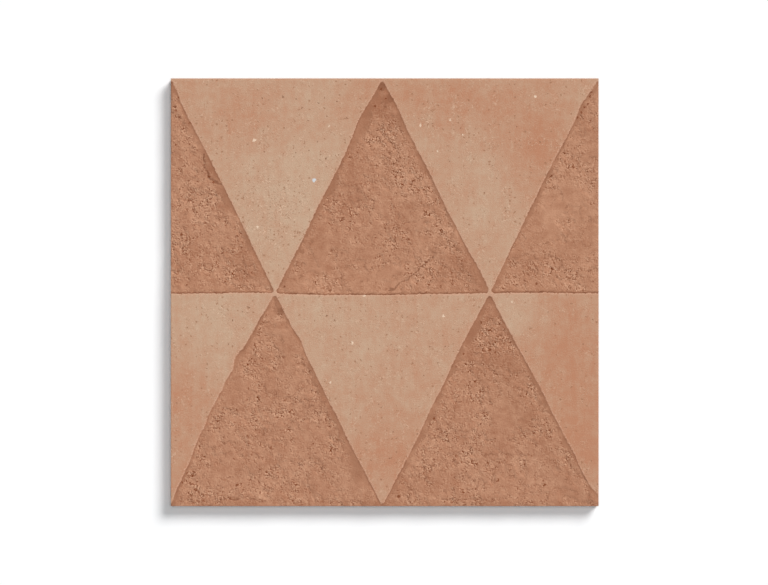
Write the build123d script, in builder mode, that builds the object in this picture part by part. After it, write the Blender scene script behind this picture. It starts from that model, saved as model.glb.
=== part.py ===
"""A square floor tile of fired clay, pressed as one piece.

Triangles are sunk into its face, apex up, in rows that are shifted by half a triangle, and the
triangles between them stand proud. The back has a grid of shallow pockets that key into the mortar.
The origin is the middle of the back. +Z points out of the face and +Y to the triangles' apexes.
"""

import os
from math import radians, tan

from build123d import *

# The tile, in millimetres
SIDE = 200.0  # edge of the square
THICKNESS = 9.0  # from the ribs of the back to the raised face
FACE_ROUND = 0.4  # rounding of every edge of the raised face
BACK_BEVEL = 0.8  # bevel round the back, which frees the tile from its mould

# The sunk triangles
ROWS = 2  # rows from the top of the face to the bottom
TRIANGLES_PER_ROW = 2  # triangles across one row
RELIEF_DEPTH = 1.0  # from the raised face to the floor of a triangle
WALL_DRAFT = 35.0  # lean of the triangles' walls from upright, in degrees
NECK = 0.5  # land between the corners of two neighbours, before they are rounded
CORNER_ROUND = 1.2  # rounding of a triangle's corners at the raised face
FOOT_STRIP = 1.2  # sunk strip along the bottom edge, which joins the last row

# The keyed back
POCKETS_PER_SIDE = 6  # pockets along each side
POCKET_DEPTH = 0.7  # from the ribs to the floor of a pocket
POCKET_DRAFT = 30.0  # lean of the pockets' walls from upright, in degrees
POCKET_ROUND = 2.0  # rounding of a pocket's corners at the ribs
RIB = 4.0  # rib between two pockets
BORDER = 7.0  # plain border round the pockets

pitch = SIDE / TRIANGLES_PER_ROW
row_height = SIDE / ROWS
floor_level = THICKNESS - RELIEF_DEPTH
wall_run = RELIEF_DEPTH * tan(radians(WALL_DRAFT))
pocket_pitch = (SIDE - 2 * BORDER + RIB) / POCKETS_PER_SIDE
pocket_side = pocket_pitch - RIB


def triangle_bases():
    """The middle of each triangle's base line. Every other row ends in half triangles."""
    bases = []
    for row in range(ROWS):
        shifted = row % 2
        y = SIDE / 2 - (row + 1) * row_height
        first_x = -SIDE / 2 + shifted * pitch / 2
        bases += [(first_x + i * pitch, y) for i in range(TRIANGLES_PER_ROW + 1 - shifted)]
    return bases


# One triangle as it meets the raised face
with BuildSketch() as triangle:
    with BuildLine():
        half_base = (pitch - NECK) / 2
        apex_height = row_height * (1 - NECK / pitch)
        Polyline((-half_base, 0), (half_base, 0), (0, apex_height), close=True)
    make_face()
    fillet(triangle.vertices(), radius=CORNER_ROUND)

# The triangles in their places, where the ones at the sides and the bottom pass the tile's edge
with BuildSketch(Plane.XY.offset(THICKNESS)) as sunk_triangles:
    with Locations(*triangle_bases()):
        add(triangle.sketch)

# The sunk strip, as it runs out at the end of the bottom edge
with BuildSketch(Plane.YZ.offset(-SIDE / 2)) as strip_section:
    with BuildLine():
        bottom_edge = -SIDE / 2
        Polyline(
            (bottom_edge, floor_level),
            (bottom_edge + FOOT_STRIP - wall_run, floor_level),
            (bottom_edge + FOOT_STRIP, THICKNESS),
            (bottom_edge, THICKNESS),
            close=True,
        )
    make_face()

# The pockets of the back, as they meet the ribs
with BuildSketch() as pockets:
    with GridLocations(pocket_pitch, pocket_pitch, POCKETS_PER_SIDE, POCKETS_PER_SIDE):
        RectangleRounded(pocket_side, pocket_side, POCKET_ROUND)

with BuildPart() as tile:
    # The block, with its bevelled back
    with BuildSketch():
        Rectangle(SIDE, SIDE)
    extrude(amount=THICKNESS)
    chamfer(tile.faces().sort_by(Axis.Z)[0].edges(), length=BACK_BEVEL)

    # The face, with leaning walls round the sunk triangles and every edge of the raised land rounded
    extrude(sunk_triangles.sketch, amount=-RELIEF_DEPTH, taper=WALL_DRAFT, mode=Mode.SUBTRACT)
    extrude(strip_section.sketch, amount=SIDE, mode=Mode.SUBTRACT)
    raised_face = tile.faces().sort_by(Axis.Z)[-1]
    fillet(raised_face.edges(), radius=FACE_ROUND)

    # The keyed back
    extrude(pockets.sketch, amount=POCKET_DEPTH, taper=POCKET_DRAFT, mode=Mode.SUBTRACT)

tile.part.label = "floor_tile"
os.makedirs("parts", exist_ok=True)
export_step(tile.part, "parts/floor_tile.step")
print("floor_tile volume", round(tile.part.volume), "mm3, faces", len(tile.part.faces()))
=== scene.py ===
# %% [markdown]
# # A pressed clay floor tile
# The tile is one piece of fired clay, 200 mm square. Its smooth triangles stand a little proud of rough
# ones, which look as if a layer of clay had been torn off them. This lesson builds that face as a mesh,
# closes it with the edges and the keyed back, and gives it a finish that is made of shader nodes.
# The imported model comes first, because it fixes the tile's size and place.

# %% The frame
from math import cos, pi, radians, sin, tan

import bmesh
import bpy
import numpy as np
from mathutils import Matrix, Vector, noise


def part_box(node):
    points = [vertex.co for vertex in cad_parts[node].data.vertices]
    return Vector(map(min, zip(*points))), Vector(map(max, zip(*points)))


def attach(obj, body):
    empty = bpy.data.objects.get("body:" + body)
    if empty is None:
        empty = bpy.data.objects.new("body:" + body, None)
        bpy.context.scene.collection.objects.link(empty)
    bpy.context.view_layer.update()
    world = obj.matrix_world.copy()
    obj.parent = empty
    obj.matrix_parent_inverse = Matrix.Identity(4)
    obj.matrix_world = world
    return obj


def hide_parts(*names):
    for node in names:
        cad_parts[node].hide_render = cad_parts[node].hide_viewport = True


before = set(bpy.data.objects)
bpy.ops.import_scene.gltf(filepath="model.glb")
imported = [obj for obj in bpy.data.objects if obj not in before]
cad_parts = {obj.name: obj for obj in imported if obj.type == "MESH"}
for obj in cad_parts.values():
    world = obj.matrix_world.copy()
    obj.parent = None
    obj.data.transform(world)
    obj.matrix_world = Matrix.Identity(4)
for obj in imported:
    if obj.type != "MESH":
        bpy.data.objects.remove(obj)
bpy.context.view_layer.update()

MM = 0.001
tile_low, tile_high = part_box("floor_tile")
SIDE = (tile_high.x - tile_low.x) / MM
THICKNESS = (tile_high.z - tile_low.z) / MM
HALF = SIDE / 2
print(f"the tile is {SIDE:.1f} mm square and {THICKNESS:.1f} mm thick")

# %% [markdown]
# ## The camera
# The photograph looks straight down at the tile from far away, so that no edge of it shows. A long lens
# does the same. The distance follows from the pixels that the tile covers.

# %% The camera
PHOTO_WIDTH, PHOTO_HEIGHT = 768, 585
LEFT_EDGE, RIGHT_EDGE = 170.6, 598.8  # columns of the tile's edges in the photograph
TOP_EDGE, BOTTOM_EDGE = 78.6, 506.0  # rows of the tile's edges
LENS, SENSOR = 200.0, 36.0  # millimetres

pixels_per_mm = (RIGHT_EDGE - LEFT_EDGE + BOTTOM_EDGE - TOP_EDGE) / 2 / SIDE
width_seen = PHOTO_WIDTH / pixels_per_mm
camera_x = (PHOTO_WIDTH - LEFT_EDGE - RIGHT_EDGE) / 2 / pixels_per_mm
camera_y = (TOP_EDGE + BOTTOM_EDGE - PHOTO_HEIGHT) / 2 / pixels_per_mm
camera_height = THICKNESS + width_seen * LENS / SENSOR

scene = bpy.context.scene
camera_data = bpy.data.cameras.new("long_lens")
camera_data.lens = LENS
camera_data.sensor_width = SENSOR
camera_data.clip_end = 10.0
camera = bpy.data.objects.new("camera", camera_data)
camera.location = (camera_x * MM, camera_y * MM, camera_height * MM)
scene.collection.objects.link(camera)
scene.camera = camera
scene.view_settings.view_transform = "Standard"
print(f"the camera is {camera_height:.0f} mm up and sees {width_seen:.0f} mm of the floor")

# %% [markdown]
# ## The light
# The tile's shadow reaches a good 6 mm to the left and below, so the main lamp stands to the upper right,
# at half height. The shadow's soft border says that the lamp is wide. A cool lamp overhead and a faint
# sky fill the shadow. The three shares add up to one, so a colour renders as it is written.

# %% The lamps and the sky
KEY_SHARE, OVERHEAD_SHARE, SKY_SHARE = 0.61, 0.33, 0.06
KEY_HEIGHT = radians(45)  # over the horizon
KEY_TURN = radians(40)  # from the top of the picture to the right
KEY_WIDTH = radians(27)  # of the lamp, as seen from the tile
OVERHEAD_RADIUS, OVERHEAD_HEIGHT = 0.45, 2.4  # metres
OVERHEAD_COLOUR = (0.97, 1.0, 1.03)  # a little cool

key_data = bpy.data.lights.new("key", "SUN")
key_data.energy = KEY_SHARE * pi / sin(KEY_HEIGHT)
key_data.angle = KEY_WIDTH
key = bpy.data.objects.new("key", key_data)
to_key = Vector((sin(KEY_TURN) * cos(KEY_HEIGHT), cos(KEY_TURN) * cos(KEY_HEIGHT), sin(KEY_HEIGHT)))
key.rotation_mode = "QUATERNION"
key.rotation_quaternion = to_key.to_track_quat("Z", "Y")
scene.collection.objects.link(key)

overhead_data = bpy.data.lights.new("overhead", "AREA")
overhead_data.shape = "DISK"
overhead_data.color = OVERHEAD_COLOUR
overhead_data.size = 2 * OVERHEAD_RADIUS
overhead_data.energy = OVERHEAD_SHARE * pi**2 * (OVERHEAD_RADIUS**2 + OVERHEAD_HEIGHT**2)
overhead = bpy.data.objects.new("overhead", overhead_data)
overhead.location.z = OVERHEAD_HEIGHT
scene.collection.objects.link(overhead)

sky = bpy.data.worlds.new("sky")
sky.use_nodes = True
sky.node_tree.nodes["Background"].inputs["Color"].default_value = (1, 1, 1, 1)
sky.node_tree.nodes["Background"].inputs["Strength"].default_value = SKY_SHARE
scene.world = sky
print(f"the lamps and the sky light a flat face with {KEY_SHARE + OVERHEAD_SHARE + SKY_SHARE:.2f} of white")

# %% [markdown]
# ## Sums with sockets
# A finish is worked out by shader nodes. Placing and linking each node by hand is long to read, so this
# class wraps an output socket. Python's operators add Math nodes to it, its method `node` adds any other
# node, and `blend` mixes two colours. Numbers alone never reach the node tree.


# %% The wire
class Wire:
    """An output socket in a node tree."""

    def __init__(self, tree, socket=None):
        self.tree = tree
        self.socket = socket

    def node(self, kind, settings=None, sockets=None, output=0):
        """Adds a node: first its settings, then values or links for its sockets, by name or number."""
        made = self.tree.nodes.new(kind)
        for name, value in (settings or {}).items():
            setattr(made, name, value)
        for which, value in (sockets or {}).items():
            named = (s for s in made.inputs if s.enabled and s.name == which)
            socket = made.inputs[which] if isinstance(which, int) else next(named)
            if isinstance(value, Wire):
                self.tree.links.new(value.socket, socket)
            else:
                socket.default_value = value
        shown = [s for s in made.outputs if s.enabled]
        if isinstance(output, str):
            shown = [s for s in shown if s.name == output]
            output = 0
        return Wire(self.tree, shown[output] if shown else None)

    def output(self, name):
        """Another output of the same node."""
        return Wire(self.tree, self.socket.node.outputs[name])

    def math(self, operation, *values):
        return self.node("ShaderNodeMath", {"operation": operation}, dict(enumerate(values)))

    def __add__(self, other):
        return self.math("ADD", self, other)

    def __sub__(self, other):
        return self.math("SUBTRACT", self, other)

    def __rsub__(self, other):
        return self.math("SUBTRACT", other, self)

    def __mul__(self, other):
        return self.math("MULTIPLY", self, other)

    def __abs__(self):
        return self.math("ABSOLUTE", self)

    def __or__(self, other):
        """The greater of two masks."""
        return self.math("MAXIMUM", self, other)

    __radd__ = __add__
    __rmul__ = __mul__

    def step(self, low, high):
        """Rises smoothly from 0 where this is low to 1 where it is high."""
        sockets = {"Value": self, "From Min": low, "From Max": high}
        return self.node("ShaderNodeMapRange", {"interpolation_type": "SMOOTHSTEP"}, sockets)

    def blend(self, low, high):
        """The colour low where this is 0, and high where it is 1."""
        return self.node("ShaderNodeMix", {"data_type": "RGBA"}, {"Factor": self, "A": low, "B": high})


def new_finish(name):
    """An empty material, and a wire to start its nodes from."""
    material = bpy.data.materials.new(name)
    material.use_nodes = True
    material.node_tree.nodes.clear()
    return material, Wire(material.node_tree)


def painted(red, green, blue):
    """A colour read from a picture, from 0 to 255, as the linear values that a shader takes."""
    shares = [value / 255 for value in (red, green, blue)]
    return (*[s / 12.92 if s < 0.04045 else ((s + 0.055) / 1.055) ** 2.4 for s in shares], 1.0)


print("a wire can be added, subtracted, multiplied, stepped and blended")

# %% [markdown]
# ## The floor
# The photograph's ground is plain white with the tile's shadow on it. The floor is a white sheet, and to
# the camera it also glows a little, which hides the faint halo that the tile's sides leave around it.

# %% The floor
SHEET_WHITE = 0.95
SHEET_GLOW = 0.07  # added for the camera
FLOOR_REACH = 4.0  # metres

white_sheet, wire = new_finish("white_sheet")
is_seen = wire.node("ShaderNodeLightPath", output="Is Camera Ray")
for ray in ("Is Glossy Ray", "Is Transmission Ray"):
    is_seen = is_seen | wire.node("ShaderNodeLightPath", output=ray)
white = (1.0, 1.0, 1.0, 1.0)
lit = wire.node("ShaderNodeBsdfDiffuse", None, {"Color": (SHEET_WHITE, SHEET_WHITE, SHEET_WHITE, 1.0)})
glow = wire.node("ShaderNodeEmission", None, {"Color": white, "Strength": SHEET_GLOW})
glow = wire.node("ShaderNodeMixShader", None, {0: is_seen, 2: glow})
sheet = wire.node("ShaderNodeAddShader", None, {0: lit, 1: glow})
wire.node("ShaderNodeOutputMaterial", None, {"Surface": sheet})

corners = [(-FLOOR_REACH, -FLOOR_REACH, 0), (FLOOR_REACH, -FLOOR_REACH, 0)]
corners += [(FLOOR_REACH, FLOOR_REACH, 0), (-FLOOR_REACH, FLOOR_REACH, 0)]
floor_mesh = bpy.data.meshes.new("floor")
floor_mesh.from_pydata(corners, [], [(0, 1, 2, 3)])
floor_mesh.materials.append(white_sheet)
floor = bpy.data.objects.new("floor", floor_mesh)
scene.collection.objects.link(floor)
print("the floor is a white sheet", 2 * FLOOR_REACH, "m wide")

# %% [markdown]
# ## The pattern
# Two rows of triangles are sunk into the face, apex up, and the lower row is shifted by half a triangle.
# Everything on the face depends on how far a point lies inside a sunk outline, so that distance is one
# function. It is positive in a sunk triangle and negative on the raised land. A corner is rounded by
# measuring from a smaller triangle and adding the radius again.

# %% The distance to the outlines
PITCH = SIDE / 2  # base of a triangle
ROW = SIDE / 2  # height of a triangle
CORNER_ROUND = 1.2
FOOT_STRIP = 1.2  # sunk strip along the bottom edge
RUN_ON = 6.0  # the lower row runs on past the bottom edge by this much
CORNER_SLIP = 2.8  # the pattern leans to the right in the lower right corner
CORNER_SIDES = (70.0, 85.0)  # between these columns the lean sets in
CORNER_TOP, CORNER_HEIGHT = -80.0, 16.0  # where it starts, and over which height it grows
SLOPE_LENGTH = (1 + (PITCH / ROW / 2) ** 2) ** 0.5  # of a triangle's side, for one unit of height


def inside_row(x, y, base, middle, run_on):
    """Distance inside the triangles of one row, whose base line is at base, with one of them at middle."""
    across = np.abs((x - middle + PITCH / 2) % PITCH - PITCH / 2)
    up = y - base
    to_slope = (PITCH / 2 - up * PITCH / ROW / 2 - across) / SLOPE_LENGTH - CORNER_ROUND
    to_base = up + run_on - CORNER_ROUND
    foot_up = CORNER_ROUND - run_on
    foot_across = PITCH / 2 - foot_up * PITCH / ROW / 2 - CORNER_ROUND * SLOPE_LENGTH
    slope_x, slope_y = -PITCH / ROW / 2 / SLOPE_LENGTH, 1 / SLOPE_LENGTH
    slope_span = foot_across / -slope_x
    along = np.clip((across - foot_across) * slope_x + (up - foot_up) * slope_y, 0, slope_span)
    from_slope = np.hypot(across - foot_across - along * slope_x, up - foot_up - along * slope_y)
    from_base = np.hypot(np.maximum(across - foot_across, 0), up - foot_up)
    inner = np.minimum(to_slope, to_base)
    outer = -np.minimum(from_slope, from_base)
    return np.where(inner > 0, inner, outer) + CORNER_ROUND


def smooth(value, low, high):
    """Rises smoothly from 0 where the value is low to 1 where it is high."""
    share = np.clip((value - low) / (high - low), 0, 1)
    return share * share * (3 - 2 * share)


def inside(x, y):
    """Distance inside the nearest sunk outline, in millimetres."""
    x = x - CORNER_SLIP * smooth(x, *CORNER_SIDES) * np.clip((CORNER_TOP - y) / CORNER_HEIGHT, 0, 1)
    upper = inside_row(x, y, 0.0, 0.0, 0.0)
    lower = inside_row(x, y, -ROW, PITCH / 2, RUN_ON)
    strip = FOOT_STRIP - (y + HALF)
    return np.maximum(np.maximum(upper, lower), strip)


samples = inside(np.array([0.0, 50.0, 0.0]), np.array([40.0, 60.0, -40.0]))
print("inside the upper triangle, and on the land beside and below it:", samples.round(1))

# %% [markdown]
# ## The net
# A square grid would cross the sloping outlines and leave them jagged. Here each row of points is shifted
# by half a step, so the net's own lines run along all three sides of the triangles. The rough floors and
# the rims need more points than the smooth land, so their meshes are divided once more.

# %% The net of the face
STEPS = 176  # meshes along a side, a multiple of 4 so that the triangles' corners fall on points
RIM = 2.0  # width of the land beside an outline that gets the finer net


def plain_net():
    """Points and triangles of the face, in rows that are shifted by half a step."""
    step = SIDE / STEPS
    even = np.arange(STEPS + 1) * step - HALF
    odd = np.concatenate(([-HALF], even[:-1] + step / 2, [HALF]))
    points, triangles, rows = [], [], []
    for row in range(STEPS + 1):
        xs = odd if row % 2 else even
        rows.append(len(points))
        points += [(x, row * step - HALF, 0.0) for x in xs]
    for row in range(STEPS):
        flipped = row % 2
        e, o = (rows[row + 1], rows[row]) if flipped else (rows[row], rows[row + 1])
        made = [(e + i, e + i + 1, o + i + 1) for i in range(STEPS)]
        made += [(e + i, o + i + 1, o + i) for i in range(STEPS + 1)]
        triangles += [t[::-1] for t in made] if flipped else made
    return points, triangles


def finer_net(points, triangles):
    """The net with every mesh divided that lies in a sunk triangle or on its rim."""
    mesh = bpy.data.meshes.new("net")
    mesh.from_pydata(points, [], triangles)
    net = bmesh.new()
    net.from_mesh(mesh)
    bpy.data.meshes.remove(mesh)
    centres = np.array([face.calc_center_median() for face in net.faces])
    fine = inside(centres[:, 0], centres[:, 1]) > -RIM
    edges = {edge for face, divide in zip(net.faces, fine) if divide for edge in face.edges}
    bmesh.ops.subdivide_edges(net, edges=sorted(edges, key=lambda e: e.index), cuts=1, use_grid_fill=True)
    bmesh.ops.triangulate(net, faces=net.faces)
    net.verts.index_update()
    corners = np.array([v.co for v in net.verts])
    faces = [tuple(v.index for v in face.verts) for face in net.faces]
    net.free()
    return corners[:, 0], corners[:, 1], faces


x, y, face_triangles = finer_net(*plain_net())
print("the face has", len(x), "points and", len(face_triangles), "triangles")

# %% [markdown]
# ## Uneven outlines
# The stamp left no ruled lines. It sat a millimetre off, some sides bulge, and small chips broke away. The
# net's points are first drawn towards the outlines, to make the walls crisp. Then they are moved sideways,
# by the stamp's slip, by slow noise and by bulges that are listed. The tile's own edges stay put.

# %% Points that follow the outlines
CRISP = 0.6  # spacing of the net at an outline, as a share of the plain spacing
CRISP_REACH = 3.0
STAMP_SLIP = (-1.1, -0.4)  # of the whole pattern
WAVER = ((22.0, 0.30), (6.0, 0.18), (2.2, 0.10))  # length of a wave and its height
EDGE_HOLD = 4.0  # points this near to the tile's edge move less
BULGES = (  # place, movement and reach
    (-9, 80, -1.3, 0.0, 9),
    (8, 88, 0.6, 0.0, 6),
    (46, 8, 0.7, 0.4, 11),
    (-12, 0, 0.0, -0.75, 36),
    (78, 0, 0.0, 0.3, 20),
    (-62, 0, 0.0, 0.4, 10),
    (-75, 50, 0.7, 0.0, 30),
    (76, 55, -0.7, 0.0, 26),
    (94, 86, -0.8, 0.2, 4),
    (-98, 96, 1.2, 0.0, 5),
    (-8, 88, -0.5, 0.0, 6),
    (-30, 42, -0.3, 0.0, 14),
    (-76, -52, -1.6, 0.0, 28),
    (-72, -40, -1.2, 0.0, 6),
    (-77, -54, -1.0, 0.0, 9),
    (-67, -29, -3.0, 0.0, 5),
    (-63, -22, -0.8, 0.0, 7),
    (-85, -70, -0.9, 0.0, 8),
    (-58, -14, -1.1, 0.0, 9),
    (-40, -22, 0.9, 0.2, 4),
    (-14, -72, -0.5, 0.0, 22),
    (38, -24, -0.8, 0.0, 18),
    (12, -76, 0.5, 0.0, 18),
    (84, -66, 1.5, 0.0, 26),
    (88, -76, 0.8, 0.0, 8),
    (62, -26, 0.8, 0.0, 20),
    (73, -44, 0.7, 0.0, 10),
)


def noise_of(points, size, offset=0.0):
    """Perlin noise from about -1 to 1, whose lumps have this size. Each offset gives another one."""
    return np.array([noise.noise(Vector((px / size, py / size, offset))) for px, py in points])


def near(spots, place_x, place_y, reach):
    """A soft round spot: 1 at its place, and fading over its reach."""
    return np.exp(-((spots[:, 0] - place_x) ** 2 + (spots[:, 1] - place_y) ** 2) / reach**2)


def inward(x, y, nudge=0.01):
    """The direction into the nearest sunk triangle."""
    slope_x = (inside(x + nudge, y) - inside(x - nudge, y)) / 2 / nudge
    slope_y = (inside(x, y + nudge) - inside(x, y - nudge)) / 2 / nudge
    return slope_x, slope_y


depth_in = inside(x, y)
inward_x, inward_y = inward(x, y)
drawn = depth_in * (CRISP + (1 - CRISP) * smooth(np.abs(depth_in), 0.5, CRISP_REACH))
spots = np.column_stack((x, y))
shift_x = (drawn - depth_in) * inward_x + STAMP_SLIP[0]
shift_y = (drawn - depth_in) * inward_y + STAMP_SLIP[1]
for length, height in WAVER:
    shift_x += height * noise_of(spots, length, 3.1)
    shift_y += height * noise_of(spots, length, 7.7)
for place_x, place_y, move_x, move_y, reach in BULGES:
    shift_x += move_x * near(spots, place_x, place_y, reach)
    shift_y += move_y * near(spots, place_x, place_y, reach)
face_x = x + shift_x * smooth(HALF - np.abs(x), 0, EDGE_HOLD)
face_y = y + shift_y * smooth(HALF - np.abs(y), 0, EDGE_HOLD)
spots = np.column_stack((face_x, face_y))
print(f"points moved by up to {np.hypot(face_x - x, face_y - y).max():.2f} mm")

# %% [markdown]
# ## The walls
# On the left and at the base of a triangle a short steep wall drops from the land. On the right, where
# the stamp dragged, the wall is lower and leans more. From its foot the floor sinks on gently, like a
# dish. Beside every wall the stamp's rim left a smooth band without grit, whose width changes on the way.

# %% The walls and the bands
RELIEF = 0.80  # from the raised land to the middle of the rough floor
STEEP_WALL, LEANING_WALL = (-0.30, 0.40), (-0.40, 0.65)  # where a wall starts and ends, from the outline
STEEP_SHARE, LEANING_SHARE = 0.40, 0.20  # of the relief that a wall takes
DISH = 18.0  # over this distance the floor sinks by the rest
CHIPS = 0.15  # unevenness of the walls
BASE_BAND, LEFT_BAND, RIGHT_BAND = 0.6, 1.2, 1.5  # widths of the bands
NARROWEST_BAND = 0.5
WIDER_BANDS = (  # place, reach and added width
    (-12, 77, 12, 3.4),
    (-23, 55, 11, 2.0),
    (-81, 57, 5, 3.4),
    (-71, 40, 11, 1.6),
    (-22, -60, 26, 1.8),
    (-12, -86, 6, 2.8),
    (-76, -50, 24, -0.8),
    (38, -26, 14, 1.2),
    (22, -58, 14, 0.8),
    (53, 6, 7, 1.5),
    (44, -15, 9, 1.4),
    (92, -84, 9, -1.6),
)

on_right = smooth(-inward_x, 0.0, 0.8)
on_base = smooth(inward_y, 0.2, 0.8)
wall_top = STEEP_WALL[0] + (LEANING_WALL[0] - STEEP_WALL[0]) * on_right
wall_foot = STEEP_WALL[1] + (LEANING_WALL[1] - STEEP_WALL[1]) * on_right
wall_share = STEEP_SHARE + (LEANING_SHARE - STEEP_SHARE) * on_right
band_width = LEFT_BAND + (RIGHT_BAND - LEFT_BAND) * on_right + (BASE_BAND - LEFT_BAND) * on_base
for place_x, place_y, reach, added in WIDER_BANDS:
    band_width += added * near(spots, place_x, place_y, reach)
band_width *= 1 + 1.2 * noise_of(spots, 11.0, 1.3) + 0.9 * noise_of(spots, 2.8, 1.7)
band_width = np.maximum(band_width, NARROWEST_BAND)

chipped = drawn + CHIPS * noise_of(spots, 1.3, 1.9)
wall = smooth(chipped, wall_top, wall_foot)
dish = np.clip(drawn / DISH, 0, 1)
floor_part = smooth(drawn, 0.4 * band_width, band_width + 0.3)
relief = RELIEF * (wall_share * wall + (1 - wall_share) * dish)
print(f"the bands are {band_width.min():.1f} to {band_width.max():.1f} mm wide")

# %% [markdown]
# ## The torn floor
# The rough floor looks as if a skin had been pulled off it. Flat scabs end in ragged steps, and beds of
# grit lie between them. All of it is noise of several sizes. The beds that stand out, and a few tears, are
# listed one by one. Only lumps of a millimetre and more are made here, and the shader adds the finer ones.

# %% Scabs, tears and grit
SCAB_SIZE, SCAB_STEP = 16.0, 0.17
SCAB_EDGES = (-0.32, 0.04)  # levels of the noise at which a scab ends
TEAR_DEPTH = 0.2
BED_SIZE = 10.0
GRIT_SIZE, GRIT_HEIGHT = 1.0, 0.28
TEARS = (  # how plain each one is, and its corners
    (1.0, ((1.5, 0.5), (10, 5.5), (16.5, 11.5), (23, 17))),
    (0.4, ((6.5, 32.5), (16, 33), (24, 37))),
    (0.4, ((-9, 26), (-3, 27.5), (5, 23))),
    (1.0, ((-85, 64), (-84, 59.5), (-82.5, 54.5), (-80, 51.5), (-76, 50.5))),
    (0.7, ((-77, -97), (-66, -96.5), (-55, -97.5))),
    (0.45, ((24, -96.5), (47, -97.5), (62, -96))),
)
BEDS = (  # place, reach, and how much more or less grit
    (10, 54, 8, 1.8),
    (3, 68, 9, 1.0),
    (-1, 79, 7, 0.5),
    (-1, 91, 7, -0.9),
    (-10, 52, 7, 0.5),
    (24, 46, 6, 0.4),
    (5, 24, 6, 1.3),
    (22, 11, 7, 0.9),
    (-28, 38, 7, -0.5),
    (-28, 13, 12, -0.7),
    (-4, 8, 8, -0.5),
    (-20, 72, 6, -0.6),
    (-92, 14, 8, 0.4),
    (-69, 9, 8, 0.3),
    (-95, 75, 8, 0.5),
    (-84, 48, 7, 0.3),
    (-84, 37, 6, -0.5),
    (73, 12, 6, 0.9),
    (89, 12, 6, 0.7),
    (89, 56, 6, 0.9),
    (84, 38, 11, -0.9),
    (90, 78, 7, -0.4),
    (-60, -38, 9, 0.6),
    (-47, -56, 8, 0.3),
    (-67, -66, 6, 0.4),
    (-83, -62, 4, 1.2),
    (-88, -94, 5, 0.8),
    (-30, -77, 6, 0.5),
    (-51, -18, 10, -0.9),
    (-66, -46, 7, -0.4),
    (48, -21, 7, 1.4),
    (26, -54, 7, 0.9),
    (27, -66, 6, 0.6),
    (84, -77, 6, 0.8),
    (73, -90, 6, 0.4),
    (58, -62, 9, -0.4),
    (48, -72, 26, 0.15),
    (-88, 30, 26, 0.4),
    (34, -31, 6, -0.5),
    (85, -92, 7, -0.8),
)


def from_line(spots, start, end):
    """Distance of every spot from a straight line between two places."""
    start, way = np.array(start), np.subtract(end, start)
    share = np.clip((spots - start) @ way / (way @ way), 0, 1)
    return np.hypot(*(spots - start - share[:, None] * way).T)


scab_noise = noise_of(spots, SCAB_SIZE, 5.0) + 0.5 * noise_of(spots, SCAB_SIZE / 2.3, 6.0)
scab_noise += 0.3 * noise_of(spots, SCAB_SIZE / 7, 6.5)
scabs = sum(smooth(scab_noise, edge - 0.03, edge + 0.03) for edge in SCAB_EDGES)
ragged = np.column_stack([spots[:, i] + 1.0 * noise_of(spots, 3.0, 8.0 + i) for i in range(2)])
tear_gap = np.full(len(x), 9.0)
for strength, corners in TEARS:
    gap = np.min([from_line(ragged, a, b) for a, b in zip(corners, corners[1:])], axis=0)
    tear_gap = np.minimum(tear_gap, gap / strength)
tear = np.exp(-((tear_gap / 0.6) ** 2)) * floor_part

gritty = 0.85 + 0.6 * noise_of(spots, BED_SIZE, 9.0) + 0.6 * noise_of(spots, BED_SIZE / 2.6, 9.5)
gritty *= 1.35 - 0.4 * scabs
for place_x, place_y, reach, added in BEDS:
    gritty += 0.65 * added * near(spots, place_x, place_y, reach)
gritty = np.clip(gritty, 0.08, 1.6) * floor_part
grit = 0.65 * noise_of(spots, GRIT_SIZE, 2.0) + 0.5 * noise_of(spots, 2.1 * GRIT_SIZE, 2.5)
pits = smooth(-grit, 0.10, 0.40) * gritty
crumbs = smooth(grit, 0.12, 0.42) * gritty

LAND_WAVE = 0.06  # unevenness of the raised land
face_z = THICKNESS - LAND_WAVE * (0.5 + 0.5 * noise_of(spots, 25.0, 4.0)) * (1 - wall) - relief
face_z += SCAB_STEP * (scabs - 1.0) * floor_part - TEAR_DEPTH * tear
face_z += GRIT_HEIGHT * np.clip(grit, -0.5, 0.5) * gritty
face_z = np.minimum(face_z, THICKNESS)  # no crumb stands over the raised land
print(f"the face lies between {face_z.min():.2f} and {face_z.max():.2f} mm over the floor")

# %% [markdown]
# ## The edges and the back
# The sides drop straight to a bevel, and the back has a grid of shallow pockets that key into the mortar.
# A pocket is the same everywhere, so one cell of rings is made and repeated, and the outermost line of
# the cells is scaled up to give the rings of the sides. The last ring is stitched to the face's border.

# %% The keyed back
POCKETS = 6  # along each side
POCKET_DEPTH, POCKET_DRAFT, POCKET_ROUND = 0.7, radians(30), 2.0
RIB, BORDER = 4.0, 7.0
BACK_BEVEL = 0.8

cell = (SIDE - 2 * BORDER + RIB) / POCKETS
pocket = cell - RIB


def rounded_square(half, radius):
    """Ring of a square with rounded corners: 8 points a side, of which 4 share in the corners' arcs."""
    ring = []
    straight = half - radius
    for turn in range(4):
        side = [(half - radius * (1 - cos(a)), -straight - radius * sin(a)) for a in (pi / 4, pi / 8, 0)]
        side += [(half, straight * share) for share in (-0.5, 0, 0.5)]
        side += [(half - radius * (1 - cos(a)), straight + radius * sin(a)) for a in (0, pi / 8)]
        quarter = radians(90) * turn
        along, up = cos(quarter), sin(quarter)
        ring += [(px * along - py * up, px * up + py * along) for px, py in side]
    return ring


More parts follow.
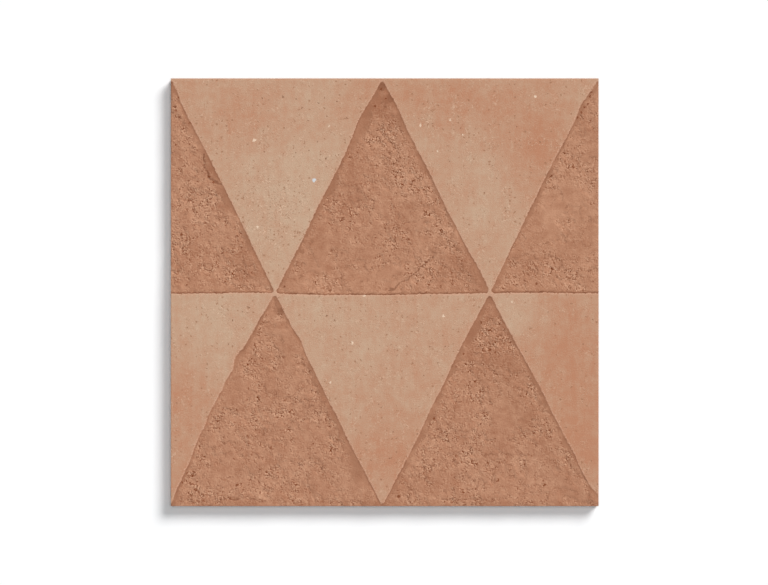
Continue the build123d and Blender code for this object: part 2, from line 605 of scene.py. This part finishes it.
def back_cell():
    """Rings of one pocket from the middle of its ribs inwards, with the height of each."""
    run = POCKET_DEPTH * tan(POCKET_DRAFT)
    rim = rounded_square(pocket / 2, POCKET_ROUND)
    outer = []
    for px, py in rim:
        on_x = abs(px) >= abs(py) - 1e-6
        on_y = abs(py) >= abs(px) - 1e-6
        outer.append((np.sign(px) * cell / 2 if on_x else px, np.sign(py) * cell / 2 if on_y else py))
    foot = rounded_square(pocket / 2 - run, POCKET_ROUND - run)
    inner = [(px * 0.55, py * 0.55) for px, py in foot]
    return [(outer, 0.0), (rim, 0.0), (foot, POCKET_DEPTH), (inner, POCKET_DEPTH)]


rings = back_cell()
print(f"a pocket cell is {cell:.2f} mm wide, with {len(rings)} rings of {len(rings[0][0])} points")

# %% [markdown]
# ## One closed mesh
# All points go into one list. A dictionary of rounded places welds what the cells share. The border of
# the face has more points than the sides need, so those two rings are stitched like a zip: whichever
# ring is behind takes the next step. Only the face and its rounded edge are shaded smooth, so that the
# edges of the back stay crisp.

# %% The closed tile
ARRIS = 0.12  # rounding of the tile's upper edges
SIDE_LEVELS = (0.62, 0.3)  # heights of the rings on the sides, as shares of the thickness

points = [(px, py, pz) for px, py, pz in zip(face_x, face_y, face_z)]
faces = list(face_triangles)


def round_the_square(px, py):
    """How far a point of a square's border lies along it, from 0 to 4."""
    reach = max(abs(px), abs(py))
    px, py = px / reach, py / reach
    if py <= -1 + 1e-6 and px < 1 - 1e-6:
        return (px + 1) / 2
    if px >= 1 - 1e-6 and py < 1 - 1e-6:
        return 1 + (py + 1) / 2
    if py >= 1 - 1e-6 and px > -1 + 1e-6:
        return 2 + (1 - px) / 2
    return 3 + (1 - py) / 2


def add_ring(places):
    """Adds the points of a ring and gives their numbers."""
    first = len(points)
    points.extend(places)
    return list(range(first, len(points)))


def join_rings(upper, lower):
    """Quads between two rings of as many points."""
    for i in range(len(upper)):
        j = (i + 1) % len(upper)
        faces.append((upper[j], upper[i], lower[i], lower[j]))


def zip_rings(upper, lower):
    """Triangles between two rings that differ in points, both in order round the square."""
    def place(ring, i):
        px, py, _ = points[ring[i % len(ring)]]
        return round_the_square(px, py) + 4 * (i // len(ring))
    i = j = 0
    while i < len(upper) or j < len(lower):
        a, b = upper[i % len(upper)], lower[j % len(lower)]
        if j >= len(lower) or (i < len(upper) and place(upper, i + 1) <= place(lower, j + 1)):
            faces.append((upper[(i + 1) % len(upper)], a, b))
            i += 1
        else:
            faces.append((a, b, lower[(j + 1) % len(lower)]))
            j += 1


border = [i for i in range(len(x)) if max(abs(x[i]), abs(y[i])) > HALF - 1e-4]
border.sort(key=lambda i: round_the_square(face_x[i], face_y[i]))
rims = []
for inset, drop in ((0.3 * ARRIS, 0.3 * ARRIS), (0.0, ARRIS)):
    scale = (HALF - inset) / HALF
    rims.append(add_ring([(face_x[i] * scale, face_y[i] * scale, face_z[i] - drop) for i in border]))
for i in border:
    scale = (HALF - ARRIS) / HALF
    points[i] = (face_x[i] * scale, face_y[i] * scale, face_z[i])
join_rings(border, rims[0])
join_rings(rims[0], rims[1])
smooth_count = len(faces)  # the face and its rounded edge

known = {}
outline = []
for column in range(POCKETS):
    for line in range(POCKETS):
        middle_x = (column - (POCKETS - 1) / 2) * cell
        middle_y = (line - (POCKETS - 1) / 2) * cell
        numbers = []
        for ring, height in rings:
            ring_numbers = []
            for px, py in ring:
                place = (round(px + middle_x, 4), round(py + middle_y, 4), height)
                if place not in known:
                    known[place] = len(points)
                    points.append(place)
                ring_numbers.append(known[place])
            numbers.append(ring_numbers)
        for upper, lower in zip(numbers, numbers[1:]):
            join_rings(upper, lower)
        faces.append(tuple(numbers[-1][::-1]))

reach = POCKETS * cell / 2
rim_numbers = [n for place, n in known.items() if max(abs(place[0]), abs(place[1])) > reach - 1e-3]
rim_numbers.sort(key=lambda n: round_the_square(points[n][0], points[n][1]))
side_rings = []
levels = [(HALF, share * THICKNESS) for share in SIDE_LEVELS]
levels += [(HALF, BACK_BEVEL), (HALF - BACK_BEVEL, 0.0)]
for half, height in levels:
    ring = [(points[n][0] * half / reach, points[n][1] * half / reach, height) for n in rim_numbers]
    side_rings.append(add_ring(ring))
side_rings.append(rim_numbers)
zip_rings(rims[1], side_rings[0])
for upper, lower in zip(side_rings, side_rings[1:]):
    join_rings(upper, lower)

mesh = bpy.data.meshes.new("floor_tile_clay")
mesh.from_pydata([tuple(c * MM for c in p) for p in points], [], faces)
shell = bmesh.new()
shell.from_mesh(mesh)
open_edges = sum(not edge.is_manifold for edge in shell.edges)
bmesh.ops.recalc_face_normals(shell, faces=shell.faces)
shell.to_mesh(mesh)
shell.free()
mesh.polygons.foreach_set("use_smooth", np.arange(len(mesh.polygons)) < smooth_count)
mesh.calc_loop_triangles()
tile = bpy.data.objects.new("floor_tile_clay", mesh)
scene.collection.objects.link(tile)
print("the tile has", len(mesh.loop_triangles), "triangles and", open_edges, "open edges")

# %% [markdown]
# ## What the finish needs to know
# The shader can't measure how far a point is from an outline, so each point of the mesh carries the values
# that were worked out for it. More are added here. On the raised land a pale bloom lies in clouds and small
# marks in swarms, and the rough floors have stains. All are soft spots at listed places, with noise.

# %% The attributes
BLOOM, STAIN = 0.53, 0.57  # plain levels of the two, from 0 for dark to 1 for pale
CLOUDS = (  # place, reach, and how much paler or darker
    (-47, 38, 30, 0.30),
    (-66, 82, 14, -0.32),
    (-10, 91, 10, -0.20),
    (10, 92, 10, -0.22),
    (-30, 85, 14, 0.08),
    (-76, 77, 7, 0.12),
    (-57, 76, 6, 0.12),
    (-50, 48, 7, 0.08),
    (-36, 62, 9, 0.28),
    (50, 34, 20, 0.12),
    (58, 80, 26, -0.28),
    (69, 66, 12, -0.30),
    (78, 77, 9, -0.16),
    (67, 45, 8, -0.16),
    (43, 66, 10, 0.20),
    (56, 66, 6, 0.12),
    (50, 40, 7, 0.10),
    (33, 91, 7, -0.14),
    (47, 52, 9, 0.18),
    (28, 92, 12, -0.15),
    (-84, -10, 20, 0.24),
    (-83, -8, 6, 0.14),
    (-89, -50, 8, 0.14),
    (-96, -46, 14, -0.28),
    (-92, -66, 18, -0.26),
    (-96, -88, 9, -0.25),
    (-28, -14, 24, 0.16),
    (0, -74, 20, -0.38),
    (-10, -31, 9, 0.16),
    (-10, -53, 8, 0.15),
    (60, -12, 12, 0.40),
    (30, -9, 7, 0.14),
    (84, -26, 24, -0.40),
    (94, -70, 26, -0.45),
)
STAINS = (  # the same for the rough floors
    (-2, 92, 9, -0.40),
    (-7, 84, 7, -0.35),
    (2, 77, 9, -0.12),
    (-22, 45, 16, -0.15),
    (-17, 58, 10, -0.22),
    (-19, 40, 7, -0.20),
    (8, 47, 7, 0.12),
    (33, 24, 6, 0.15),
    (36, 10, 12, -0.28),
    (-37, 22, 8, -0.12),
    (8, 9, 12, 0.12),
    (-92, 12, 9, -0.20),
    (-92, 71, 7, 0.20),
    (-81, 57, 4, -0.45),
    (-88, 49, 7, 0.16),
    (-82, 33, 6, 0.12),
    (-67, 16, 10, -0.20),
    (-85, 34, 9, 0.12),
    (84, 38, 14, 0.25),
    (75, 8, 14, -0.15),
    (49, -20, 14, -0.35),
    (-60, -31, 6, -0.14),
    (-57, -32, 6, -0.12),
    (-48, -31, 6, 0.14),
    (70, -88, 14, 0.10),
    (50, -55, 34, -0.10),
    (71, -67, 7, -0.22),
    (63, -63, 5, 0.16),
    (45, -61, 7, 0.12),
    (67, -80, 7, 0.14),
    (57, -34, 8, -0.18),
)

FAINT_SIDE = (-78, -54, 24, 0.65)  # the side whose darker band and painted crease shade are faint
BASE_PALE, FOOT_DARK = 0.12, 0.25  # paler over the base lines, and darker along the tile's bottom edge
FLECKS = (  # the same for the marks on the land, from 0 for none
    (-50, 40, 13, 1.0),
    (-58, 52, 8, 0.4),
    (-52, 27, 7, 0.4),
    (-58, 76, 7, 0.3),
    (-27, 60, 6, 0.4),
    (20, 82, 7, 0.3),
    (38, 70, 5, 0.4),
    (50, 58, 5, 0.3),
    (62, 34, 6, 0.3),
    (-26, -11, 5, 0.5),
    (5, -13, 7, 0.3),
    (-16, -23, 6, 0.3),
    (-24, -43, 6, 0.3),
    (-80, -12, 10, 0.3),
    (-66, -20, 7, 0.4),
    (85, -24, 16, -0.4),
    (95, -60, 16, -0.4),
)


def toned(level, places, spots):
    """A level with soft spots added at the given places."""
    return level + sum(added * near(spots, px, py, reach) for px, py, reach, added in places)


def carry(name, values):
    """Stores one number for each point, which is 0 off the face."""
    attribute = mesh.attributes.new(name, "FLOAT", "POINT")
    whole = np.zeros(len(mesh.vertices), np.float32)
    whole[: len(values)] = values
    attribute.data.foreach_set("value", whole)


bloom = toned(BLOOM, CLOUDS, spots)
bloom += 0.16 * noise_of(spots, 14.0, 12.0) + 0.14 * noise_of(spots, 5.0, 13.0)
stain = toned(STAIN, STAINS, spots)
stain += 0.28 * noise_of(spots, 12.0, 14.0) + 0.37 * noise_of(spots, 3.5, 15.0)
stain -= FOOT_DARK * smooth(-spots[:, 1], 96.5, 98.5)
stain += BASE_PALE * on_base * smooth(drawn, 0, 1) * (1 - smooth(drawn, 4, 8))
flecks = toned(0.45, FLECKS, spots) + 0.9 * noise_of(spots, 6.0, 16.0)
carry("on_face", np.ones(len(x)))
carry("bloom", bloom)
carry("stain", stain + 0.22 * (gritty - 0.7))
carry("inset", drawn)
carry("flecks", np.clip(flecks, 0.1, 1.4))
faint = 1 - FAINT_SIDE[3] * near(spots, *FAINT_SIDE[:3])
# painted shade in the crease under each wall, strongest along the base lines and weakest on the right
carry("crease_shade", (0.40 - 0.12 * on_right + 0.60 * on_base) * faint)
carry("band_width", band_width)
# the band's darker colour: partly smooth clay, partly painted shade beside the wall, less on the right
# where the wall shades itself
carry("band_dark", (0.60 - 0.10 * on_right) * faint)
carry("tear_gap", tear_gap)
carry("scab", scab_noise)
carry("gritty", gritty)
carry("pits", pits)
carry("crumbs", crumbs)
print("the mesh carries", ", ".join(a.name for a in mesh.attributes if a.data_type == "FLOAT"))

# %% [markdown]
# ## The raised land
# The pressed land is nearly smooth. Its pink clay shows through a pale bloom, with faint marks of drawing
# from top to bottom and a fine grain. Along the outlines a thin pale lip is painted, partly as the
# highlight on the land's rounded edge. The noise of each size gets its own texture node, in millimetres.

# %% The land's colour
LAND_DARK, LAND_PALE = painted(190, 134, 104), painted(201, 169, 142)
DUST = painted(226, 190, 162)
LIP_HIGHLIGHT = painted(214, 166, 140)

fired_clay, wire = new_finish("fired_clay")
place = wire.node("ShaderNodeTexCoord", output="Object")
in_mm = wire.node("ShaderNodeVectorMath", {"operation": "SCALE"}, {"Vector": place, "Scale": 1 / MM})


def carried(name):
    """A number that the mesh carries."""
    settings = {"attribute_name": name, "attribute_type": "GEOMETRY"}
    return wire.node("ShaderNodeAttribute", settings, output="Fac")


def speckle(size, detail=1.0, stretch=(1.0, 1.0, 1.0), slip=0.0):
    """Noise around 0 whose lumps have this size in millimetres. It can slip to the lower left."""
    scaled = tuple(1 / size / s for s in stretch)
    slipped = (slip * scaled[0], slip * scaled[1], 0.0)
    settings = {"operation": "MULTIPLY_ADD"}
    at = wire.node("ShaderNodeVectorMath", settings, {0: in_mm, 1: scaled, 2: slipped})
    return wire.node("ShaderNodeTexNoise", None, {"Vector": at, "Scale": 1.0, "Detail": detail}) - 0.5


fine = speckle(0.5)
drawing = speckle(1.6, 1.0, (1.0, 9.0, 1.0))
tone = carried("bloom") + speckle(3.2, 2.0) * 0.6 + drawing * 0.35 + fine * 0.9
land = tone.blend(LAND_DARK, LAND_PALE)
inset = carried("inset") + speckle(1.3, 2.0) * 1.2
sunk = inset.step(-0.25, 0.1)
# a paler lip along the outlines, partly painted highlight on the land's rounded edge
lip_highlight = inset.step(-1.0, -0.5) * (1 - sunk)
land = (lip_highlight * (fine * 4.0 + 0.25)).blend(land, LIP_HIGHLIGHT)
print("the land's colour takes", len(fired_clay.node_tree.nodes), "nodes")

# %% [markdown]
# ## The grit
# In the beds of grit, winding cracks run round flakes of clay. Dots from a cell texture would look like
# pepper, so a crack is drawn wherever a noise passes through zero, and a second noise breaks it up. A crack
# is painted dark, as its shade. The light comes from the upper right, so a crack has a painted pale edge at
# its lower left: the same drawing, moved.

# %% Strokes, cells and spots
WOBBLE = 0.9  # millimetres by which the cells are bent out of shape

bend = wire.node("ShaderNodeTexNoise", None, {"Vector": in_mm, "Scale": 1.1, "Detail": 1.0}, "Color")
bend = wire.node("ShaderNodeVectorMath", {"operation": "SUBTRACT"}, {0: bend, 1: (0.5, 0.5, 0.5)})
settings = {"operation": "MULTIPLY_ADD"}
wobbled = wire.node("ShaderNodeVectorMath", settings, {0: bend, 1: (WOBBLE * 2,) * 3, 2: in_mm})


def cells(size, shift):
    """Distance from the middle of the nearest cell, in cells of this size, and a number for each."""
    moved = wire.node("ShaderNodeVectorMath", {"operation": "ADD"}, {0: wobbled, 1: (shift, shift, 0.0)})
    settings = {"voronoi_dimensions": "2D"}
    away = wire.node("ShaderNodeTexVoronoi", settings, {"Vector": moved, "Scale": 1 / size}, "Distance")
    return away, wire.node("ShaderNodeSeparateColor", None, {"Color": away.output("Color")}, "Red")


def strokes_at(values, level, width):
    """A stroke wherever the values pass through a level."""
    return 1 - abs(values - level).step(0.0, width)


def strokes(size, width, slip=0.0):
    """Winding strokes, where a noise of this size passes through zero."""
    return strokes_at(speckle(size, slip=slip), 0.0, width)


def cracks_at(slip):
    """Broken cracks of three sizes."""
    coarse = strokes(2.8, 0.025, slip) * speckle(2.2, slip=slip).step(0.0, 0.05)
    medium = strokes(1.7, 0.05, slip) * speckle(1.4, slip=slip).step(-0.02, 0.05)
    small = strokes(1.0, 0.05, slip) * speckle(0.9, slip=slip).step(0.0, 0.05)
    return coarse | medium | small


settings = {"operation": "MULTIPLY"}
wobbled_flat = wire.node("ShaderNodeVectorMath", settings, {0: wobbled, 1: (1.0, 1.0, 0.0)})


def placed(places):
    """A mask of round spots at the given places."""
    mask = None
    for px, py, radius in places:
        settings = {"operation": "DISTANCE"}
        away = wire.node("ShaderNodeVectorMath", settings, {0: wobbled_flat, 1: (px, py, 0.0)}, "Value")
        spot = 1 - (away + fine * 0.8).step(0.5 * radius, radius)
        mask = spot if mask is None else mask | spot
    return mask


print("a bent cell texture scatters the pits, and a noise draws the strokes")

# %% Masks of the rough floor
LIT_SIDE = 0.4  # from a crack to its lit side, in millimetres
HOLLOWS = (  # place and radius of the deeper pits
    (-1.5, 95, 0.8),
    (0.5, 90.5, 0.6),
    (-7.5, 88.5, 0.6),
    (-4.5, 87, 0.7),
    (-96, 91, 0.7),
    (-97.5, 85, 0.7),
    (-96, 82, 0.7),
    (-91, 79.5, 0.7),
    (96.5, 93.5, 0.7),
    (96, 91.5, 0.8),
    (95, 88, 0.8),
    (93.5, 86.5, 0.7),
    (92, 84, 0.7),
    (90.5, 82, 0.8),
    (5, 54, 0.8),
    (13, 52, 0.7),
    (26, 3, 0.7),
    (88, 58.5, 0.8),
    (71, 4, 0.7),
    (-80, 51.5, 0.8),
    (-82, 54, 0.8),
    (-95, 27, 0.8),
    (-92.5, -84.5, 0.8),
    (-89, -84, 0.7),
    (-88.5, -92.5, 0.8),
    (-87, -93.5, 0.7),
    (-94.5, -89, 0.6),
    (-85, -97.5, 0.6),
    (-69, -90, 0.7),
    (49, -27, 0.9),
    (45, -14, 0.7),
    (37, -29, 0.7),
    (23, -59, 0.7),
    (53, -88, 0.8),
    (75, -90, 0.8),
    (6.5, -95.5, 0.8),
)

to_floor = carried("inset") - carried("band_width") + speckle(2.2, 2.0) * 3.0
on_floor = to_floor.step(-0.3, 0.4)
tears = 1 - (carried("tear_gap") + speckle(1.2) * 1.0).step(0.2, 0.7)
scab = carried("scab") + speckle(1.4) * 0.35
scab_rims = strokes_at(scab, SCAB_EDGES[0], 0.06) | strokes_at(scab, SCAB_EDGES[1], 0.06)
scab_rims = (scab_rims | strokes_at(to_floor, 0.0, 0.35)) * speckle(3.4).step(0.0, 0.1)
clustered = carried("gritty") * (0.3 + speckle(2.9, 1.0).step(-0.10, 0.08) * 0.7)
cracks = cracks_at(0.0) * clustered
lit_sides = cracks_at(LIT_SIDE) * clustered * (1 - cracks)
lumps = speckle(0.8)
away, pick = cells(1.7, 23.0)
pinholes = (1 - away.step(0.10, 0.26)) * (clustered * 0.16 - pick).step(0.0, 0.05)
pinholes = pinholes | placed(HOLLOWS)
fine_pits = (0 - lumps).step(0.08, 0.14) * clustered * 0.45 | cracks
# pale crumbs, partly painted highlight on the tops of lumps, and the painted highlight of the cracks' lit
# sides
fine_crumbs_and_highlights = lumps.step(0.05, 0.11) * clustered * (1 - cracks) * 0.5 | lit_sides * 0.8
print("with the masks there are", len(fired_clay.node_tree.nodes), "nodes")

# %% [markdown]
# ## Layers of the rough floor
# The torn clay is redder and darker than the land, and stained. The layers go over it one by one, as a
# painter would lay them: the darker bands, which are partly painted shade beside the walls, then the
# painted shade in the tears and along the scabs' rims, the pits with their painted shade, the crumbs and
# the lit sides with their painted highlight, and last the painted shade in the creases under the walls,
# which is darkest along the base lines.

# %% The rough floor's colour
TORN_DARK, TORN_PALE = painted(166, 112, 84), painted(197, 146, 116)
BAND = painted(160, 110, 83)
# the colour of painted shade, in creases, tears, scabs' rims and under the walls
PAINTED_SHADE = painted(126, 78, 54)
PIT_SHADE, CRUMB_HIGHLIGHT = painted(120, 54, 14), painted(230, 182, 150)
SHADES = (  # place and radius of dark spots under the walls
    (-1.5, 96, 2.6),
    (3, 91, 3.0),
    (-48.5, -9, 2.4),
)

torn = (carried("stain") + speckle(1.7, 2.0) * 0.7 + fine * 0.8).blend(TORN_DARK, TORN_PALE)
patchy = 0.5 + speckle(6.0).step(-0.1, 0.1) * 0.6
# the darker bands beside the walls: partly smooth clay, partly painted shade
torn = (carried("band_dark") * patchy * (1 - on_floor)).blend(torn, BAND)
# painted shade in the tears, along the scabs' rims and in the spots under the walls
torn = (tears * 0.7 | scab_rims * on_floor * 0.45 | placed(SHADES) * 0.45).blend(torn, PAINTED_SHADE)
# pits and cracks painted dark, as their shade
torn = (carried("pits") * 0.05 + fine_pits * 0.9).blend(torn, PIT_SHADE)
# crumbs painted pale, partly as their highlight
torn = (carried("crumbs") * 0.12 + fine_crumbs_and_highlights * 0.75).blend(torn, CRUMB_HIGHLIGHT)
# pinholes and the deeper pits painted dark, as their shade
torn = (pinholes * 0.75).blend(torn, PIT_SHADE)
# painted shade in the crease at the foot of each wall
crease_shade = inset.step(-0.25, 0.05) * (1 - inset.step(0.3, 0.7)) * carried("crease_shade")
crease_shade = crease_shade * (0.3 + speckle(4.0).step(-0.06, 0.08) * 0.9 | carried("crease_shade") - 0.2)
torn = (crease_shade * 0.75).blend(torn, PAINTED_SHADE)
print("with the rough floor there are", len(fired_clay.node_tree.nodes), "nodes")

# %% [markdown]
# ## Specks and pores
# White grains of temper and small open pores are scattered over the land. The ones that catch the eye are
# listed one by one. The others come from a cell texture, in which a random number picks some of the cells.
# Faint strokes of dust and small dents lie in swarms between them. The pores and dents are painted dark, as
# their shade.

# %% The specks
WHITE_SPECKS = (  # place and radius
    (-61, 71, 0.9),
    (-59.5, 30.5, 0.65),
    (-26, 77.5, 0.5),
    (16.5, 78, 0.75),
    (30.6, 80.5, 0.65),
    (36.5, 73.5, 0.55),
    (24.5, 66, 0.45),
    (70.5, 91.5, 0.8),
    (-9.5, -1, 0.95),
    (-15, -23.5, 0.8),
    (-25.5, -42, 0.65),
    (27.5, -11, 0.7),
    (59.5, -4.5, 0.55),
)
# the largest grain, with a painted cool glint
LARGEST_SPECK = (-33, 52.5, 1.1)
OPEN_PORES = (
    (-27.5, 62.5, 0.50),
    (-38.5, 86, 0.50),
    (-31, 88.5, 0.40),
    (-18, 81.5, 0.45),
    (-22.5, 89, 0.40),
    (-31.5, 70.5, 0.40),
    (-47.5, 91.5, 0.45),
    (38.5, 70, 0.40),
    (50.5, 59.5, 0.45),
    (30.5, 61, 0.40),
    (18, 88, 0.40),
    (-27, -11, 0.55),
    (-23.5, -13, 0.50),
    (-63.5, -7, 0.40),
    (-71, -13, 0.45),
)
SPECK, COOL_GLINT, PORE_SHADE = painted(238, 210, 184), painted(212, 214, 216), painted(132, 86, 60)
DENT_SHADE = painted(158, 110, 80)


def scattered(cell, radius, share, shift):
    """A mask of spots, one in each of a share of the cells of this size."""
    moved = wire.node("ShaderNodeVectorMath", {"operation": "ADD"}, {0: in_mm, 1: (shift, shift, 0.0)})
    settings = {"voronoi_dimensions": "2D"}
    away = wire.node("ShaderNodeTexVoronoi", settings, {"Vector": moved, "Scale": 1 / cell}, "Distance")
    chosen = (share - away.output("Color")).step(0.0, 0.02)
    return (1 - (away * cell + fine * 0.6).step(0.5 * radius, radius)) * chosen


flecks = carried("flecks")
dust = strokes(2.0, 0.05) * speckle(1.3).step(-0.02, 0.06) * flecks
away, pick = cells(2.4, 57.0)
dents = (1 - away.step(0.06, 0.22)) * (flecks * 0.3 - pick).step(0.0, 0.02)
dents = dents | strokes(1.6, 0.04) * speckle(1.1).step(0.0, 0.06) * flecks * 0.7
pores = scattered(4.2, 0.30, 0.25, 17.0) * 0.5 | scattered(13.0, 0.42, 0.40, 41.0) * 0.8
pores = pores | placed(OPEN_PORES)
land = (dust * 0.6).blend(land, DUST)
# dents and pores painted dark, as their shade
land = (dents * 0.7).blend(land, DENT_SHADE)
land = (pores * 0.75).blend(land, PORE_SHADE)
land = (placed(WHITE_SPECKS) * 0.9).blend(land, SPECK)
# painted cool glint on the largest grain
land = placed([LARGEST_SPECK]).blend(land, COOL_GLINT)
print("with the specks there are", len(fired_clay.node_tree.nodes), "nodes")

# %% [markdown]
# ## The clay as a whole
# Sides and back are plain clay. One shader, rough and hardly shiny, takes the colour of land and floors.
# A bump adds the grain that is too fine for the mesh.

# %% The clay's shader
BODY_DARK, BODY_PALE = painted(166, 117, 90), painted(188, 142, 114)
GRAIN_DEPTH, GRIT_DEPTH, PORE_DEPTH = 0.12, 0.05, 0.05  # millimetres

body = (0.5 + speckle(7.0) + fine * 0.9).blend(BODY_DARK, BODY_PALE)
colour = carried("on_face").blend(body, sunk.blend(land, torn))
height = fine * GRAIN_DEPTH + (fine_crumbs_and_highlights - fine_pits) * GRIT_DEPTH
height = height + (dust - dents - pores) * (1 - sunk) * PORE_DEPTH
bump = wire.node("ShaderNodeBump", None, {"Strength": 1.0, "Distance": MM, "Height": height})
clay = wire.node(
    "ShaderNodeBsdfPrincipled",
    None,
    {"Base Color": colour, "Roughness": 0.9, "Specular IOR Level": 0.15, "Normal": bump},
)
wire.node("ShaderNodeOutputMaterial", None, {"Surface": clay})
mesh.materials.append(fired_clay)
print("the clay has", len(fired_clay.node_tree.nodes), "nodes")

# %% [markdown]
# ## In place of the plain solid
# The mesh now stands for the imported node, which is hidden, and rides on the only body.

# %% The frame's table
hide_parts("floor_tile")
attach(tile, "root")
